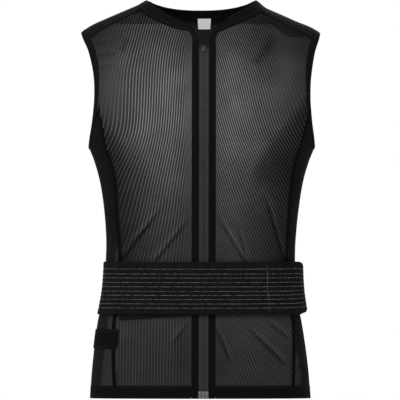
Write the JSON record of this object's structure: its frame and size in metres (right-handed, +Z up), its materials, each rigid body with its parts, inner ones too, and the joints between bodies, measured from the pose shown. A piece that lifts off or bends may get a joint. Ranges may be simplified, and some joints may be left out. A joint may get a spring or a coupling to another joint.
{
  "type": "back protector vest",
  "caption": "Sleeveless zip-front mesh vest in its worn shape, with a padded back protector and a wide elastic kidney belt that closes over the front.",
  "frame": {"origin": "midway between the two neck points, at their height, where the shoulders carry the vest", "axes": "+Z up, the front faces -Y, the wearer's left is at +X"},
  "size_m": [0.4089, 0.2637, 0.6811],
  "materials": {
    "rib_mesh": "see-through ribbed mesh",
    "side_mesh": "closely knitted mesh",
    "smooth_cloth": "smooth stretch cloth",
    "binding": "folded elastic binding",
    "zip_tape": "woven tape",
    "zip_plastic": "half gloss",
    "zip_metal": "dull grey metal",
    "pad_cover": "cloth over foam",
    "elastic": "ribbed elastic webbing",
    "label": "plain satin"
  },
  "bodies": {
    "root": {"front_mesh_right": "rib_mesh", "front_mesh_left": "rib_mesh", "side_panel_right": "side_mesh", "side_panel_left": "side_mesh", "back_panel": "rib_mesh", "front_seam_right": "binding", "front_seam_left": "binding", "back_seam_right": "binding", "back_seam_left": "binding", "shoulder_yoke_right": "smooth_cloth", "shoulder_yoke_left": "smooth_cloth", "armhole_binding_right": "binding", "armhole_binding_left": "binding", "neck_band": "smooth_cloth", "hem_band": "smooth_cloth", "zip_band_right": "smooth_cloth", "zip_band_left": "smooth_cloth", "zip_tape_right": "zip_tape", "zip_tape_left": "zip_tape", "zip_coil": "zip_plastic", "zip_slider": "zip_plastic", "zip_end_box": "zip_metal", "back_protector": "pad_cover", "belt_back": "elastic", "belt_under_wing": "elastic", "belt_over_wing": "elastic", "neck_label": "label", "side_patch": "smooth_cloth"}
  },
  "joints": []
}
